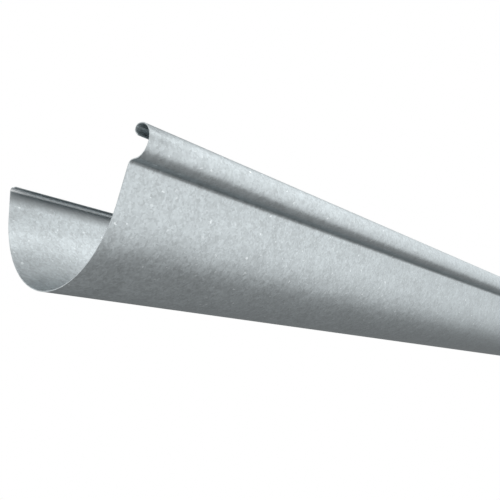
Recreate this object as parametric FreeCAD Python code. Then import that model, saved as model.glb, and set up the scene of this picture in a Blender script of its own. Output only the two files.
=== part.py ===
"""Half-round eaves gutter, nominal 150 mm: one length of roll-formed galvanised steel.

The whole gutter is one strip of sheet. Its profile is walked like the strip through the rolls,
from the free edge of the back lip, down the back wall, round the trough, up the front wall,
out over the shoulder and round the bead, to the free edge of the tail inside the bead.

Millimetres and degrees. +Z is up, +Y runs along the gutter, -X is the back edge that goes
against the building and +X is the beaded front. The origin is on the axis of the half-round,
halfway along. The gutter is turned about that axis to the angle at which it lies by itself
on a level floor.
"""
import FreeCAD, Part
import math
import os

# The stock.
LENGTH = 2000.0
SHEET = 0.7

# The trough: a half-round between two straight walls that lean outward.
TROUGH_RADIUS = 75.0        # outside
BACK_WALL = 21.9            # straight, from the half-round to the lip's bend
BACK_LEAN = 16.0            # from the vertical
FRONT_WALL = 22.6           # straight, from the half-round to the shoulder
FRONT_LEAN = 13.0           # from the vertical

# The back lip: a narrow flange, folded inward over the trough, that brackets clip over.
LIP_FLAT = 6.5
LIP_RISE = 2.5              # from the level, towards its free edge
LIP_BEND_RADIUS = 2.2       # outside

# The front bead: the sheet steps out over a shoulder, rolls up, over and back,
# and ends in a small curl with a straight tail, so no raw edge is left to the hand.
SHOULDER_RADIUS = 4.5       # outside
LEDGE = 3.3                 # straight, from the shoulder to the bead
LEDGE_RISE = 5.0            # from the level
BEAD_RADIUS = 11.4          # outside
BEAD_TURN = 185.0
CURL_RADIUS = 3.3           # outside
CURL_TURN = 130.0
TAIL = 3.2

LEFT = 1                    # the trough's side of the sheet, as the strip is walked
RIGHT = -1                  # the weather side of the sheet


def straight(length):
    """One flat stretch of the strip."""
    return {"length": length, "radius": 0.0, "turn": 0.0}


def bend(outside_radius, turn):
    """One bend, given by its outside radius. A positive turn bends the strip to the left."""
    return {"length": 0.0, "radius": outside_radius - SHEET / 2, "turn": math.radians(turn)}


def strip_steps():
    """The strip's straights and bends in order. Each bend starts where the last step points."""
    lip_turn = 90 + BACK_LEAN - LIP_RISE
    trough_turn = 180 - BACK_LEAN - FRONT_LEAN
    shoulder_turn = 90 - FRONT_LEAN - LEDGE_RISE
    return [
        straight(LIP_FLAT),
        bend(LIP_BEND_RADIUS, lip_turn),
        straight(BACK_WALL),
        bend(TROUGH_RADIUS, trough_turn),
        straight(FRONT_WALL),
        bend(SHOULDER_RADIUS, -shoulder_turn),
        straight(LEDGE),
        bend(BEAD_RADIUS, BEAD_TURN),
        bend(CURL_RADIUS, CURL_TURN),
        straight(TAIL),
    ]


def ahead(heading):
    """Unit vector along a heading in the section plane, measured from +X towards +Z."""
    return FreeCAD.Vector(math.cos(heading), 0, math.sin(heading))


def to_left(heading):
    """Unit vector square to a heading, on its left."""
    return FreeCAD.Vector(-math.sin(heading), 0, math.cos(heading))


def walk(start, heading, steps, side):
    """Edges of one face of the sheet, half a thickness to the given side of the middle line."""
    offset = side * SHEET / 2
    edges = []
    middle = start
    for step in steps:
        first = middle + to_left(heading) * offset
        if step["turn"]:
            hand = math.copysign(1, step["turn"])
            centre = middle + to_left(heading) * step["radius"] * hand
            reach = offset - step["radius"] * hand
            half_way = centre + to_left(heading + step["turn"] / 2) * reach
            heading += step["turn"]
            last = centre + to_left(heading) * reach
            middle = last - to_left(heading) * offset
            edges.append(Part.Arc(first, half_way, last).toShape())
        else:
            middle = middle + ahead(heading) * step["length"]
            last = middle + to_left(heading) * offset
            edges.append(Part.LineSegment(first, last).toShape())
    return edges


def end_points(edges):
    """Where a run of edges starts and stops."""
    return edges[0].valueAt(edges[0].FirstParameter), edges[-1].valueAt(edges[-1].LastParameter)


def section():
    """The closed outline of the sheet, with the centre of the half-round at the origin."""
    steps = strip_steps()
    start = FreeCAD.Vector(0, 0, 0)
    heading = math.radians(180 + LIP_RISE)
    inner = walk(start, heading, steps, LEFT)
    outer = walk(start, heading, steps, RIGHT)
    lip_inner, tail_inner = end_points(inner)
    lip_outer, tail_outer = end_points(outer)
    lip_edge = Part.LineSegment(lip_outer, lip_inner).toShape()
    tail_edge = Part.LineSegment(tail_inner, tail_outer).toShape()
    outline = Part.Wire([lip_edge] + inner + [tail_edge] + outer[::-1])
    half_round = outer[3].Curve
    outline.translate(half_round.Center * -1)
    return outline


def gutter():
    """The finished length, turned to the angle at which its weight holds it on the floor."""
    face = Part.Face(section())
    face.translate(FreeCAD.Vector(0, -LENGTH / 2, 0))
    length = face.extrude(FreeCAD.Vector(0, LENGTH, 0))
    weight = length.CenterOfMass
    resting_turn = math.degrees(math.atan2(weight.x, -weight.z))
    length.rotate(FreeCAD.Vector(0, 0, 0), FreeCAD.Vector(0, 1, 0), resting_turn)
    print("resting turn", round(resting_turn, 3), "degrees, centre of mass", length.CenterOfMass)
    return length


os.makedirs("parts", exist_ok=True)
gutter().exportStep("parts/gutter_section.step")
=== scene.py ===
import math

import bmesh
import bpy
from mathutils import Matrix, Vector


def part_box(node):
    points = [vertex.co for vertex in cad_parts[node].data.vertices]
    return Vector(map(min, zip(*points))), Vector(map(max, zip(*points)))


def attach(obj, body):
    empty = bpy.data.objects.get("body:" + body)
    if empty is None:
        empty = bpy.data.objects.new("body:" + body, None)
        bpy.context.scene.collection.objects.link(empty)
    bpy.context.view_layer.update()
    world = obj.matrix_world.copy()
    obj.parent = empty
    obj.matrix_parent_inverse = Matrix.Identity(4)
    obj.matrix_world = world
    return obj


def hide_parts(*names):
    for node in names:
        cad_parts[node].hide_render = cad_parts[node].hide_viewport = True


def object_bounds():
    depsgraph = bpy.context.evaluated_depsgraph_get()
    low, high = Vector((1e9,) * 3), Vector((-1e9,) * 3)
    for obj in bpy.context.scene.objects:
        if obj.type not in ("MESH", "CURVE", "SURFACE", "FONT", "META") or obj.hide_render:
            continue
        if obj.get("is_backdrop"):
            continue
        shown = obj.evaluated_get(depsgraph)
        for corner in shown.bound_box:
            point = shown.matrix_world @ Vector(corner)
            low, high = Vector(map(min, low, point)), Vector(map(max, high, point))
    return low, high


# Half-round eaves gutter: one length of roll-formed galvanised steel sheet.
# The strip is bent here at full smoothness from the same sizes as the CAD part, and stands for it.
# The profile is walked from the free edge of the back lip to the free edge of the tail in the bead,
# in a plane where a heading is measured from +X towards +Z. +Y runs along the gutter.

bl_info = {
    "name": "Half-round gutter length",
    "version": (1, 0, 0),
    "blender": (4, 5, 0),
    "location": "3D View > Sidebar > Gutter",
    "description": "Rolls a beaded half-round gutter from galvanised sheet and sets a studio round it",
    "category": "Add Mesh",
}

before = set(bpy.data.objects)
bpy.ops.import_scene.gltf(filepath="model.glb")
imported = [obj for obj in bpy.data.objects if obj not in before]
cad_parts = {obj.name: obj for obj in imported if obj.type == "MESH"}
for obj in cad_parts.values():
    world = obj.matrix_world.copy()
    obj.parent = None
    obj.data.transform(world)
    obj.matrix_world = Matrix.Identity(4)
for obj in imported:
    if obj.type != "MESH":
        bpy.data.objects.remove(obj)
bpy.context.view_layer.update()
GUTTER_NODE = "gutter_section"
LENGTH_FROM_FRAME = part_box(GUTTER_NODE)[1].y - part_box(GUTTER_NODE)[0].y

MM = 0.001
ALONG = Vector((0, 1, 0))

# Degrees turned by each facet of a bend, by the outside radius that the bend has to be over.
FACET_DEGREES = ((50 * MM, 1.5), (8 * MM, 5), (0, 8))
FEWEST_FACETS = 4
CUT_CORNER = math.radians(60)       # edges sharper than this are corners left by cutting
SHADED_SHARP = math.radians(35)     # edges sharper than this are shaded sharp


def linear(hex_colour):
    """sRGB hex text to a linear RGBA colour."""
    channels = [int(hex_colour[i:i + 2], 16) / 255 for i in (1, 3, 5)]
    bent = [c / 12.92 if c <= 0.04045 else ((c + 0.055) / 1.055) ** 2.4 for c in channels]
    return (*bent, 1.0)


def grey(level):
    """A grey of this linear level."""
    return (level, level, level, 1)


def size(name, description, default):
    """A length property in metres."""
    return bpy.props.FloatProperty(name=name, description=description, default=default,
                                   min=0.0, unit="LENGTH", precision=4)


def angle(name, description, degrees):
    """An angle property, given in degrees."""
    return bpy.props.FloatProperty(name=name, description=description,
                                   default=math.radians(degrees), subtype="ANGLE")


def colour(name, description, hex_colour):
    """A colour property, given as sRGB hex."""
    return bpy.props.FloatVectorProperty(name=name, description=description, size=4, min=0.0,
                                         max=1.0, default=linear(hex_colour), subtype="COLOR")


def amount(name, description, default, top=1.0):
    """A plain number property."""
    return bpy.props.FloatProperty(name=name, description=description, default=default,
                                   min=0.0, max=top)


class GutterSizes(bpy.types.PropertyGroup):
    length: size("Length", "Stock length of the gutter", LENGTH_FROM_FRAME)
    sheet: size("Sheet", "Thickness of the sheet", 0.7 * MM)
    trough_radius: size("Trough radius", "Outside radius of the half-round", 75.0 * MM)
    back_wall: size("Back wall", "Straight wall between half-round and lip bend", 21.9 * MM)
    back_lean: angle("Back lean", "Lean of the back wall from the vertical", 16)
    front_wall: size("Front wall", "Straight wall between half-round and shoulder", 22.6 * MM)
    front_lean: angle("Front lean", "Lean of the front wall from the vertical", 13)
    lip_flat: size("Lip flat", "Flat part of the back lip", 6.5 * MM)
    lip_rise: angle("Lip rise", "Rise of the lip towards its free edge", 2.5)
    lip_bend: size("Lip bend", "Outside radius of the lip's bend", 2.2 * MM)
    shoulder: size("Shoulder", "Outside radius of the shoulder under the bead", 4.5 * MM)
    ledge: size("Ledge", "Straight ledge between shoulder and bead", 3.3 * MM)
    ledge_rise: angle("Ledge rise", "Rise of the ledge towards the bead", 5)
    bead_radius: size("Bead radius", "Outside radius of the front bead", 11.4 * MM)
    bead_turn: angle("Bead turn", "How far the bead is rolled round", 185)
    curl_radius: size("Curl radius", "Outside radius of the small curl that ends the bead", 3.3 * MM)
    curl_turn: angle("Curl turn", "How far the small curl is rolled round", 130)
    tail: size("Tail", "Straight tail after the curl", 3.2 * MM)
    facet: size("Facet", "Length of a facet along the gutter", 25.0 * MM)
    burr: size("Broken edge", "Rounding left on a cut edge of the sheet", 0.12 * MM)


class GalvanisedFinish(bpy.types.PropertyGroup):
    dull: colour("Dull zinc", "Crystals that send the least light back", "#AEB4B6")
    bright: colour("Bright zinc", "Crystals that send the most light back", "#D4DCDF")
    glint: colour("Glint", "The few grains that catch the light", "#E9EFF1")
    glancing: colour("Glancing zinc", "What the zinc sends back at a glancing look", "#D3D5D6")
    # Painted highlight: lightens the zinc in the lip's tight fold.
    fold_highlight: colour("Painted highlight in the fold", "Zinc colour lightened in the lip's tight fold as painted highlight", "#FFFFFF")
    # Painted shade: darkens the zinc on the wall under the lip.
    under_lip_shade: colour("Painted shade under the lip", "Zinc colour darkened under the lip as painted shade", "#8F9496")
    roughness: amount("Roughness", "Roughness of the zinc skin", 0.40)
    flower: size("Flower", "Width of the larger zinc crystals", 4.2 * MM)
    grain: size("Grain", "Width of the finest grains that are drawn", 1.5 * MM)
    cloud: size("Cloud", "Width of the faint clouding over many crystals", 35.0 * MM)
    ragged: size("Ragged edge", "How far the crystals' outlines wander", 3.2 * MM)
    wave: size("Wave", "Length of the faint waves that rolling leaves in thin sheet", 70.0 * MM)
    lean: amount("Lean", "How far a crystal's face leans from the sheet's", 0.02)
    buckle: amount("Buckle", "How far the waves lean from the flat", 0.03)


class StudioLight(bpy.types.PropertyGroup):
    front: amount("Front", "Soft light in front, level with the gutter", 1.15, 10.0)
    high: amount("High", "Soft light overhead and in front", 1.7, 10.0)
    gap: amount("Gap", "Dimmer gap in the lights over the near end", 0.5, 10.0)
    back: amount("Back", "Soft light over the near end's back wall", 0.9, 10.0)
    behind: amount("Behind", "Light from behind, level with the gutter", 0.2, 10.0)
    under: amount("Under", "Light that comes up from below", 0.36, 10.0)
    end_box: amount("End soft box", "Soft box that faces the near cut end", 0.8, 10.0)
    floor: colour("Floor", "Pale studio floor", "#F2F2F0")


# ---------------------------------------------------------------- the strip of sheet

def strip_steps(sizes):
    """The strip's straights and bends in order, as (length, outside radius, turn)."""
    quarter = math.pi / 2
    return [
        (sizes.lip_flat, 0, 0),
        (0, sizes.lip_bend, quarter + sizes.back_lean - sizes.lip_rise),
        (sizes.back_wall, 0, 0),
        (0, sizes.trough_radius, 2 * quarter - sizes.back_lean - sizes.front_lean),
        (sizes.front_wall, 0, 0),
        (0, sizes.shoulder, -(quarter - sizes.front_lean - sizes.ledge_rise)),
        (sizes.ledge, 0, 0),
        (0, sizes.bead_radius, sizes.bead_turn),
        (0, sizes.curl_radius, sizes.curl_turn),
        (sizes.tail, 0, 0),
    ]


def ahead(heading):
    """Unit vector along a heading in the section plane."""
    return Vector((math.cos(heading), 0, math.sin(heading)))


def bend_segments(radius, turn):
    """Enough segments for a bend to look round: the wider the bend, the more to a degree."""
    degrees_each = next(degrees for least, degrees in FACET_DEGREES if radius > least)
    return max(FEWEST_FACETS, math.ceil(abs(math.degrees(turn)) / degrees_each))


def walk_strip(sizes, depth):
    """bmesh of one line of the strip, a depth below its weather face, walked by one vertex.

    Straights are extruded and bends are spun. The half-round's centre ends up at the origin."""
    strip = bmesh.new()
    heading = math.pi + sizes.lip_rise
    tip = strip.verts.new((0, 0, 0))
    trough_centre = Vector()
    for length, radius, turn in strip_steps(sizes):
        if turn:
            hand = math.copysign(1, turn)
            # A bend to the right has the weather face on its inside.
            line_radius = radius - depth if turn > 0 else radius - sizes.sheet + depth
            centre = tip.co + ahead(heading + math.pi / 2) * line_radius * hand
            spun = bmesh.ops.spin(strip, geom=[tip], cent=centre, axis=-ALONG, angle=turn,
                                  steps=bend_segments(radius, turn), use_merge=False)
            tip = next(part for part in spun["geom_last"] if isinstance(part, bmesh.types.BMVert))
            heading += turn
            if radius == sizes.trough_radius:
                trough_centre = centre
        else:
            grown = bmesh.ops.extrude_vert_indiv(strip, verts=[tip])
            tip = grown["verts"][0]
            bmesh.ops.translate(strip, verts=[tip], vec=ahead(heading) * length)
    bmesh.ops.translate(strip, verts=strip.verts[:], vec=-trough_centre)
    return strip


def resting_turn(sizes):
    """The turn about the half-round's axis that brings the centre of mass below it."""
    middle_line = walk_strip(sizes, sizes.sheet / 2)
    weight = Vector()
    for edge in middle_line.edges:
        weight += (edge.verts[0].co + edge.verts[1].co) / 2 * edge.calc_length()
    middle_line.free()
    return math.atan2(weight.x, -weight.z)


def lip_fold(sizes, turn):
    """The lip's bend as it rests: its centre, inside radius, and the way down the wall from it."""
    down = Vector((math.sin(sizes.back_lean), 0, -math.cos(sizes.back_lean)))
    out = Vector((-math.cos(sizes.back_lean), 0, -math.sin(sizes.back_lean)))
    fold = out * (sizes.trough_radius - sizes.lip_bend) - down * sizes.back_wall
    resting = Matrix.Rotation(turn, 3, "Y")
    return resting @ fold, sizes.lip_bend - sizes.sheet, resting @ down


def rolled_sheet(sizes, turn):
    """bmesh of the bent sheet, as it rests, with the half-round's axis on the Y axis."""
    strip = walk_strip(sizes, 0)
    bmesh.ops.rotate(strip, verts=strip.verts[:], cent=Vector(), matrix=Matrix.Rotation(turn, 3, "Y"))
    bmesh.ops.translate(strip, verts=strip.verts[:], vec=ALONG * (-sizes.length / 2))
    facets = round(sizes.length / sizes.facet)
    bmesh.ops.spin(strip, geom=strip.verts[:] + strip.edges[:], cent=Vector(), axis=ALONG, angle=0,
                   dvec=ALONG * (sizes.length / facets), steps=facets, use_merge=False)
    bmesh.ops.recalc_face_normals(strip, faces=strip.faces[:])
    lowest = min(strip.faces, key=lambda face: face.calc_center_median().z)
    if lowest.normal.z > 0:
        bmesh.ops.reverse_faces(strip, faces=strip.faces[:])
    bmesh.ops.solidify(strip, geom=strip.faces[:], thickness=sizes.sheet)
    return strip


def break_cut_edges(strip, sizes):
    """Rounds the square corners that cutting leaves round the sheet's rim."""
    corners = [edge for edge in strip.edges
               if len(edge.link_faces) == 2 and edge.calc_face_angle() > CUT_CORNER]
    bmesh.ops.bevel(strip, geom=corners, offset=sizes.burr, segments=2, profile=0.5,
                    affect="EDGES", material=-1)


class GUTTER_OT_sheet(bpy.types.Operator):
    """Roll the gutter from one strip of galvanised sheet"""
    bl_idname = "gutter.sheet"
    bl_label = "Gutter sheet"

    def execute(self, context):
        sizes = context.scene.gutter_sizes
        turn = resting_turn(sizes)
        strip = rolled_sheet(sizes, turn)
        break_cut_edges(strip, sizes)
        for face in strip.faces:
            face.smooth = True
        mesh = bpy.data.meshes.new("galvanised_sheet")
        strip.to_mesh(mesh)
        strip.free()
        mesh.set_sharp_from_angle(angle=SHADED_SHARP)
        sheet = bpy.data.objects.new("galvanised_sheet", mesh)
        context.scene.collection.objects.link(sheet)
        sheet.data.materials.append(galvanised_steel(context.scene.gutter_finish,
                                                     *lip_fold(sizes, turn)))
        context.scene["resting_turn"] = turn
        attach(sheet, "root")
        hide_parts(GUTTER_NODE)
        return {"FINISHED"}


# ---------------------------------------------------------------- the zinc finish

def add_node(tree, kind, values=None, links=None, **settings):
    """Adds a shader node. values fill its inputs, links join outputs to its inputs."""
    node = tree.nodes.new(kind)
    for name, value in settings.items():
        setattr(node, name, value)
    for key, value in (values or {}).items():
        node.inputs[key].default_value = value
    for key, source in (links or {}).items():
        tree.links.new(source, node.inputs[key])
    return node


def empty_tree(holder):
    """The holder's node tree, switched on and cleared."""
    holder.use_nodes = True
    holder.node_tree.nodes.clear()
    return holder.node_tree


# What counts in a spot's brightness, and the sums that give all dull and all bright zinc.
GRAIN_COUNTS = 0.5
FLOWER_COUNTS = 0.25
CLOUD_COUNTS = 0.45             # the clouds vary so little that they still count least
ALL_DULL = 0.1
ALL_BRIGHT = 1.1
GLINTING_FROM = 0.99            # one grain in a hundred glints
HIGHLIGHT_FADE = 0.08 * MM        # how far the painted highlight fades out past the fold's inside
# The painted shade under the lip runs down the wall from a little above the bend's centre to well
# below it. It is at its full strength between these shares of that way.
PAINTED_SHADE_ABOVE = 0.7 * MM
PAINTED_SHADE_BELOW = 12 * MM
PAINTED_SHADE_FULL = (0.08, 0.5)
PAINTED_SHADE_STRENGTH = 0.8


def galvanised_steel(finish, fold, fold_radius, down):
    """Hot-dip galvanised steel sheet with a fine spangle, bare and still new.

    Zinc freezes on the steel in small flat crystals. Each leans a little its own way and is a
    little brighter or duller than the next, so the skin is satin and cool grey, mottled, with
    a few bright grains and a ragged edge wherever light turns to shade."""
    material = bpy.data.materials.new("hot_dip_galvanised_steel")
    tree = empty_tree(material)
    place = add_node(tree, "ShaderNodeTexCoord").outputs["Object"]

    # Crystals have wandering outlines, so the coordinates are stirred before they are read.
    stir = add_node(tree, "ShaderNodeTexNoise", {"Scale": 1 / (2 * finish.grain), "Detail": 1.0},
                    {"Vector": place})
    stirred = add_node(tree, "ShaderNodeVectorMath", {1: (finish.ragged,) * 3},
                       {0: stir.outputs["Color"], 2: place}, operation="MULTIPLY_ADD")
    flowers = add_node(tree, "ShaderNodeTexVoronoi", {"Scale": 1 / finish.flower},
                       {"Vector": stirred.outputs["Vector"]})
    # The finest grains of the real skin are well under a millimetre, too fine to show from the
    # studio's camera. These are drawn coarser, so that they show.
    grains = add_node(tree, "ShaderNodeTexVoronoi", {"Scale": 1 / finish.grain},
                      {"Vector": stirred.outputs["Vector"]})
    clouds = add_node(tree, "ShaderNodeTexNoise",
                      {"Scale": 1 / finish.cloud, "Detail": 4.0, "Roughness": 0.7},
                      {"Vector": place})

    # How bright each spot is: its grain counts most, then its flower, then the cloud it is in.
    in_flower = add_node(tree, "ShaderNodeSeparateColor", links={"Color": flowers.outputs["Color"]})
    in_grain = add_node(tree, "ShaderNodeSeparateColor", links={"Color": grains.outputs["Color"]})
    cloudy = add_node(tree, "ShaderNodeMath", {1: CLOUD_COUNTS}, {0: clouds.outputs["Fac"]},
                      operation="MULTIPLY")
    flowery = add_node(tree, "ShaderNodeMath", {1: FLOWER_COUNTS},
                       {0: in_flower.outputs["Red"], 2: cloudy.outputs[0]},
                       operation="MULTIPLY_ADD")
    mottle = add_node(tree, "ShaderNodeMath", {1: GRAIN_COUNTS},
                      {0: in_grain.outputs["Red"], 2: flowery.outputs[0]},
                      operation="MULTIPLY_ADD")
    share = add_node(tree, "ShaderNodeMapRange", {"From Min": ALL_DULL, "From Max": ALL_BRIGHT},
                     {"Value": mottle.outputs[0]})
    zinc = add_node(tree, "ShaderNodeMix", {6: finish.dull, 7: finish.bright},
                    {"Factor": share.outputs["Result"]}, data_type="RGBA")
    few = add_node(tree, "ShaderNodeMapRange", {"From Min": GLINTING_FROM, "From Max": 1.0},
                   {"Value": in_grain.outputs["Green"]})
    glinting = add_node(tree, "ShaderNodeMix", {7: finish.glint},
                        {"Factor": few.outputs["Result"], 6: zinc.outputs[2]}, data_type="RGBA")

    # Painted light: a painted highlight lightens the lip's tight fold, and painted shade darkens the
    # sheltered wall below it. Both go by the place in the section, whatever the place along the
    # gutter.
    in_section = add_node(tree, "ShaderNodeVectorMath", {1: (1, 0, 1)}, {0: place},
                          operation="MULTIPLY")
    from_fold = add_node(tree, "ShaderNodeVectorMath", {1: fold},
                         {0: in_section.outputs["Vector"]}, operation="DISTANCE")
    below_fold = add_node(tree, "ShaderNodeVectorMath", {1: down},
                          {0: in_section.outputs["Vector"]}, operation="DOT_PRODUCT")
    in_fold = add_node(tree, "ShaderNodeMapRange",
                       {"From Min": fold_radius, "From Max": fold_radius + HIGHLIGHT_FADE,
                        "To Min": 1.0, "To Max": 0.0},
                       {"Value": from_fold.outputs["Value"]})
    under_lip = add_node(tree, "ShaderNodeMapRange",
                         {"From Min": fold.dot(down) - PAINTED_SHADE_ABOVE,
                          "From Max": fold.dot(down) + PAINTED_SHADE_BELOW},
                         {"Value": below_fold.outputs["Value"]})
    painted_shade = add_node(tree, "ShaderNodeValToRGB", links={0: under_lip.outputs["Result"]})
    for stop in painted_shade.color_ramp.elements:
        stop.color = grey(0)
    for place_in_ramp in PAINTED_SHADE_FULL:
        painted_shade.color_ramp.elements.new(place_in_ramp).color = grey(PAINTED_SHADE_STRENGTH)
    # Painted shade darkens the zinc on the wall under the lip.
    under_lip_shade = add_node(tree, "ShaderNodeMix", {7: finish.under_lip_shade},
                     {"Factor": painted_shade.outputs["Color"], 6: glinting.outputs[2]}, data_type="RGBA")
    # Painted highlight lightens the zinc in the lip's tight fold.
    with_painted_light = add_node(tree, "ShaderNodeMix", {7: finish.fold_highlight},
                    {"Factor": in_fold.outputs["Result"], 6: under_lip_shade.outputs[2]}, data_type="RGBA")

    # How the skin leans: crystal by crystal, and in long faint waves.
    waves = add_node(tree, "ShaderNodeTexNoise", {"Scale": 1 / finish.wave, "Detail": 1.0},
                     {"Vector": place})
    crystals = add_node(tree, "ShaderNodeVectorMath",
                        links={0: flowers.outputs["Color"], 1: grains.outputs["Color"]})
    middle = -(finish.lean + finish.buckle / 2)
    crystal_lean = add_node(tree, "ShaderNodeVectorMath", {1: (finish.lean,) * 3, 2: (middle,) * 3},
                            {0: crystals.outputs["Vector"]}, operation="MULTIPLY_ADD")
    whole_lean = add_node(tree, "ShaderNodeVectorMath", {1: (finish.buckle,) * 3},
                          {0: waves.outputs["Color"], 2: crystal_lean.outputs["Vector"]},
                          operation="MULTIPLY_ADD")
    flat = add_node(tree, "ShaderNodeNewGeometry")
    leaning = add_node(tree, "ShaderNodeVectorMath",
                       links={0: flat.outputs["Normal"], 1: whole_lean.outputs["Vector"]})
    facing = add_node(tree, "ShaderNodeVectorMath", links={0: leaning.outputs["Vector"]},
                      operation="NORMALIZE")

    skin = add_node(tree, "ShaderNodeBsdfPrincipled",
                    {"Metallic": 1.0, "Roughness": finish.roughness,
                     "Specular Tint": finish.glancing},
                    {"Base Color": with_painted_light.outputs[2], "Normal": facing.outputs["Vector"]})
    add_node(tree, "ShaderNodeOutputMaterial", links={"Surface": skin.outputs["BSDF"]})
    return material


# ---------------------------------------------------------------- the studio

# Where the eye stands, from the near end of the half-round's axis, with the gutter upright:
# out in front of the bead, a little way back from the near end, and just below the trough.
EYE = Vector((358.8, -184.5, -80.7)) * MM
EYE_TURNED_LEFT = math.radians(43.18)
EYE_TILTED_UP = math.radians(7.74)
EYE_ROLLED = math.radians(7.27)
LENS = 40.46                    # millimetres
FILM = 36                       # millimetres wide
CLIP_START = 10 * MM

# The strips over the near end give way to those towards the far end between these leans. A lean
# of 0 looks square out from the gutter, and 1 looks along it to the far end.
FAR_STRIPS_START = 0.48
FAR_STRIPS_ALONE = 0.6
# The soft box that faces the near cut end: the way to its middle, with the gutter upright, and
# the cosines of the angles from there at which it starts and is at its full brightness.
WAY_TO_END_BOX = Vector((-0.73, -0.65, 0.17)).normalized()
END_BOX_START = 0.7
END_BOX_FULL = 0.92

FLOOR_HALF = 6.0                # metres from its middle to each side
FLOOR_GAP = 0.1 * MM            # the floor is this far below the gutter


def place_camera(scene, turn):
    """Stands the camera by the near end, turned with the resting gutter."""
    lens = bpy.data.cameras.new("camera")
    lens.lens = LENS
    lens.sensor_width = FILM
    lens.clip_start = CLIP_START
    camera = bpy.data.objects.new("camera", lens)
    near_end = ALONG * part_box(GUTTER_NODE)[0].y
    aim = (Matrix.Rotation(EYE_TURNED_LEFT, 4, "Z")
           @ Matrix.Rotation(math.pi / 2 + EYE_TILTED_UP, 4, "X")
           @ Matrix.Rotation(EYE_ROLLED, 4, "Z"))
    stand = Matrix.Translation(EYE + near_end) @ aim
    camera.matrix_world = Matrix.Rotation(turn, 4, "Y") @ stand
    scene.collection.objects.link(camera)
    scene.camera = camera


def light_world(scene, light, turn):
    """Soft lights on all sides, and a white backdrop.

    The lights are strips that run alongside the gutter, so their brightness depends on the
    angle round its axis, with the gutter upright: 0 is in front of it and 90 degrees is
    overhead. Overhead they are brighter towards the far end than over the near one. A soft box
    faces the near cut end. The eye itself sees plain white behind the gutter."""
    seam = (light.behind + light.under) / 2
    low_strips = ((-180, seam), (-150, light.under), (-66, light.under), (-48, light.front * 0.92),
                  (-25, light.front), (0, light.front * 1.13))
    near_strips = low_strips + ((35, light.gap * 1.5), (60, light.high), (85, light.gap),
                                (110, light.back), (135, light.behind), (165, light.behind),
                                (180, seam))
    far_strips = low_strips + ((35, light.high * 0.85), (60, light.high * 0.94),
                               (85, light.high * 0.95), (110, light.high * 0.95),
                               (135, light.gap), (165, light.behind), (180, seam))
    world = bpy.data.worlds.new("studio")
    scene.world = world
    tree = empty_tree(world)
    way = add_node(tree, "ShaderNodeTexCoord")
    upright = add_node(tree, "ShaderNodeMapping", {"Rotation": (0, -turn, 0)},
                       {"Vector": way.outputs["Generated"]}, vector_type="POINT")
    parts = add_node(tree, "ShaderNodeSeparateXYZ", links={0: upright.outputs["Vector"]})
    round_axis = add_node(tree, "ShaderNodeMath",
                          links={0: parts.outputs["Z"], 1: parts.outputs["X"]},
                          operation="ARCTAN2")
    along_ring = add_node(tree, "ShaderNodeMapRange", {"From Min": -math.pi, "From Max": math.pi},
                          {"Value": round_axis.outputs[0]})
    rings = []
    for strips in (near_strips, far_strips):
        ring = add_node(tree, "ShaderNodeValToRGB", links={0: along_ring.outputs["Result"]})
        stops = ring.color_ramp.elements
        for degrees, _ in strips[1:-1]:
            stops.new((degrees + 180) / 360)
        for stop, (_, strength) in zip(stops, strips):
            stop.color = grey(strength)
        rings.append(ring.outputs["Color"])
    farness = add_node(tree, "ShaderNodeMapRange",
                       {"From Min": FAR_STRIPS_START, "From Max": FAR_STRIPS_ALONE},
                       {"Value": parts.outputs["Y"]}, interpolation_type="SMOOTHSTEP")
    strip_light = add_node(tree, "ShaderNodeMix",
                           links={"Factor": farness.outputs["Result"], 6: rings[0], 7: rings[1]},
                           data_type="RGBA")
    nearness = add_node(tree, "ShaderNodeVectorMath", {1: WAY_TO_END_BOX},
                        {0: upright.outputs["Vector"]}, operation="DOT_PRODUCT")
    end_box = add_node(tree, "ShaderNodeMapRange",
                       {"From Min": END_BOX_START, "From Max": END_BOX_FULL,
                        "To Max": light.end_box},
                       {"Value": nearness.outputs["Value"]}, interpolation_type="SMOOTHSTEP")
    brightness = add_node(tree, "ShaderNodeMath",
                          links={0: strip_light.outputs[2], 1: end_box.outputs["Result"]})
    lit = add_node(tree, "ShaderNodeBackground", {"Color": grey(1)},
                   {"Strength": brightness.outputs[0]})
    white = add_node(tree, "ShaderNodeBackground", {"Color": grey(1), "Strength": 1.0})
    eye = add_node(tree, "ShaderNodeLightPath")
    sky = add_node(tree, "ShaderNodeMixShader",
                   links={0: eye.outputs["Is Camera Ray"], 1: lit.outputs[0], 2: white.outputs[0]})
    add_node(tree, "ShaderNodeOutputWorld", links={"Surface": sky.outputs[0]})


def studio_floor(light):
    """A pale floor under the gutter, clear when looked at from beneath."""
    material = bpy.data.materials.new("pale_floor")
    tree = empty_tree(material)
    under = add_node(tree, "ShaderNodeNewGeometry").outputs["Backfacing"]
    paint = add_node(tree, "ShaderNodeBsdfDiffuse", {"Color": light.floor})
    clear = add_node(tree, "ShaderNodeBsdfTransparent")
    top = add_node(tree, "ShaderNodeMixShader", links={0: under, 1: paint.outputs[0],
                                                       2: clear.outputs[0]})
    add_node(tree, "ShaderNodeOutputMaterial", links={"Surface": top.outputs[0]})
    return material


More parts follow.
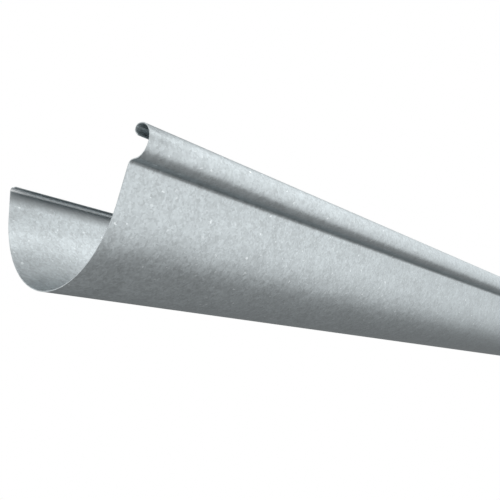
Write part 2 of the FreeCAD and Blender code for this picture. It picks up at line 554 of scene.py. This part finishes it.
class GUTTER_OT_studio(bpy.types.Operator):
    """Set the floor, the soft light and the camera"""
    bl_idname = "gutter.studio"
    bl_label = "Studio"

    def execute(self, context):
        scene = context.scene
        light = scene.gutter_light
        turn = scene["resting_turn"]
        base = bmesh.new()
        bmesh.ops.create_grid(base, x_segments=1, y_segments=1, size=FLOOR_HALF)
        floor_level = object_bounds()[0][2] - FLOOR_GAP
        bmesh.ops.translate(base, verts=base.verts[:], vec=(0, 0, floor_level))
        mesh = bpy.data.meshes.new("studio_floor")
        base.to_mesh(mesh)
        base.free()
        floor = bpy.data.objects.new("studio_floor", mesh)
        floor.data.materials.append(studio_floor(light))
        floor.visible_diffuse = False
        floor.visible_glossy = False
        scene.collection.objects.link(floor)
        floor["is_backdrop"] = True
        light_world(scene, light, turn)
        place_camera(scene, turn)
        scene.view_settings.view_transform = "Standard"
        return {"FINISHED"}


# ---------------------------------------------------------------- the add-on

class GUTTER_PT_panel(bpy.types.Panel):
    """Sizes, finish and light of the gutter"""
    bl_idname = "GUTTER_PT_panel"
    bl_label = "Half-round gutter"
    bl_space_type = "VIEW_3D"
    bl_region_type = "UI"
    bl_category = "Gutter"

    def draw(self, context):
        scene = context.scene
        for group in (scene.gutter_sizes, scene.gutter_finish, scene.gutter_light):
            box = self.layout.box()
            for name in group.__annotations__:
                box.prop(group, name)
        for maker in MAKERS:
            self.layout.operator(maker.bl_idname)


GROUPS = {"gutter_sizes": GutterSizes, "gutter_finish": GalvanisedFinish,
          "gutter_light": StudioLight}
MAKERS = (GUTTER_OT_sheet, GUTTER_OT_studio)


def register():
    for cls in (*GROUPS.values(), *MAKERS, GUTTER_PT_panel):
        bpy.utils.register_class(cls)
    for name, group in GROUPS.items():
        setattr(bpy.types.Scene, name, bpy.props.PointerProperty(type=group))


def unregister():
    for name in GROUPS:
        delattr(bpy.types.Scene, name)
    for cls in reversed((*GROUPS.values(), *MAKERS, GUTTER_PT_panel)):
        bpy.utils.unregister_class(cls)


def main():
    register()
    bpy.ops.gutter.sheet()
    bpy.ops.gutter.studio()


if __name__ == "__main__":
    main()
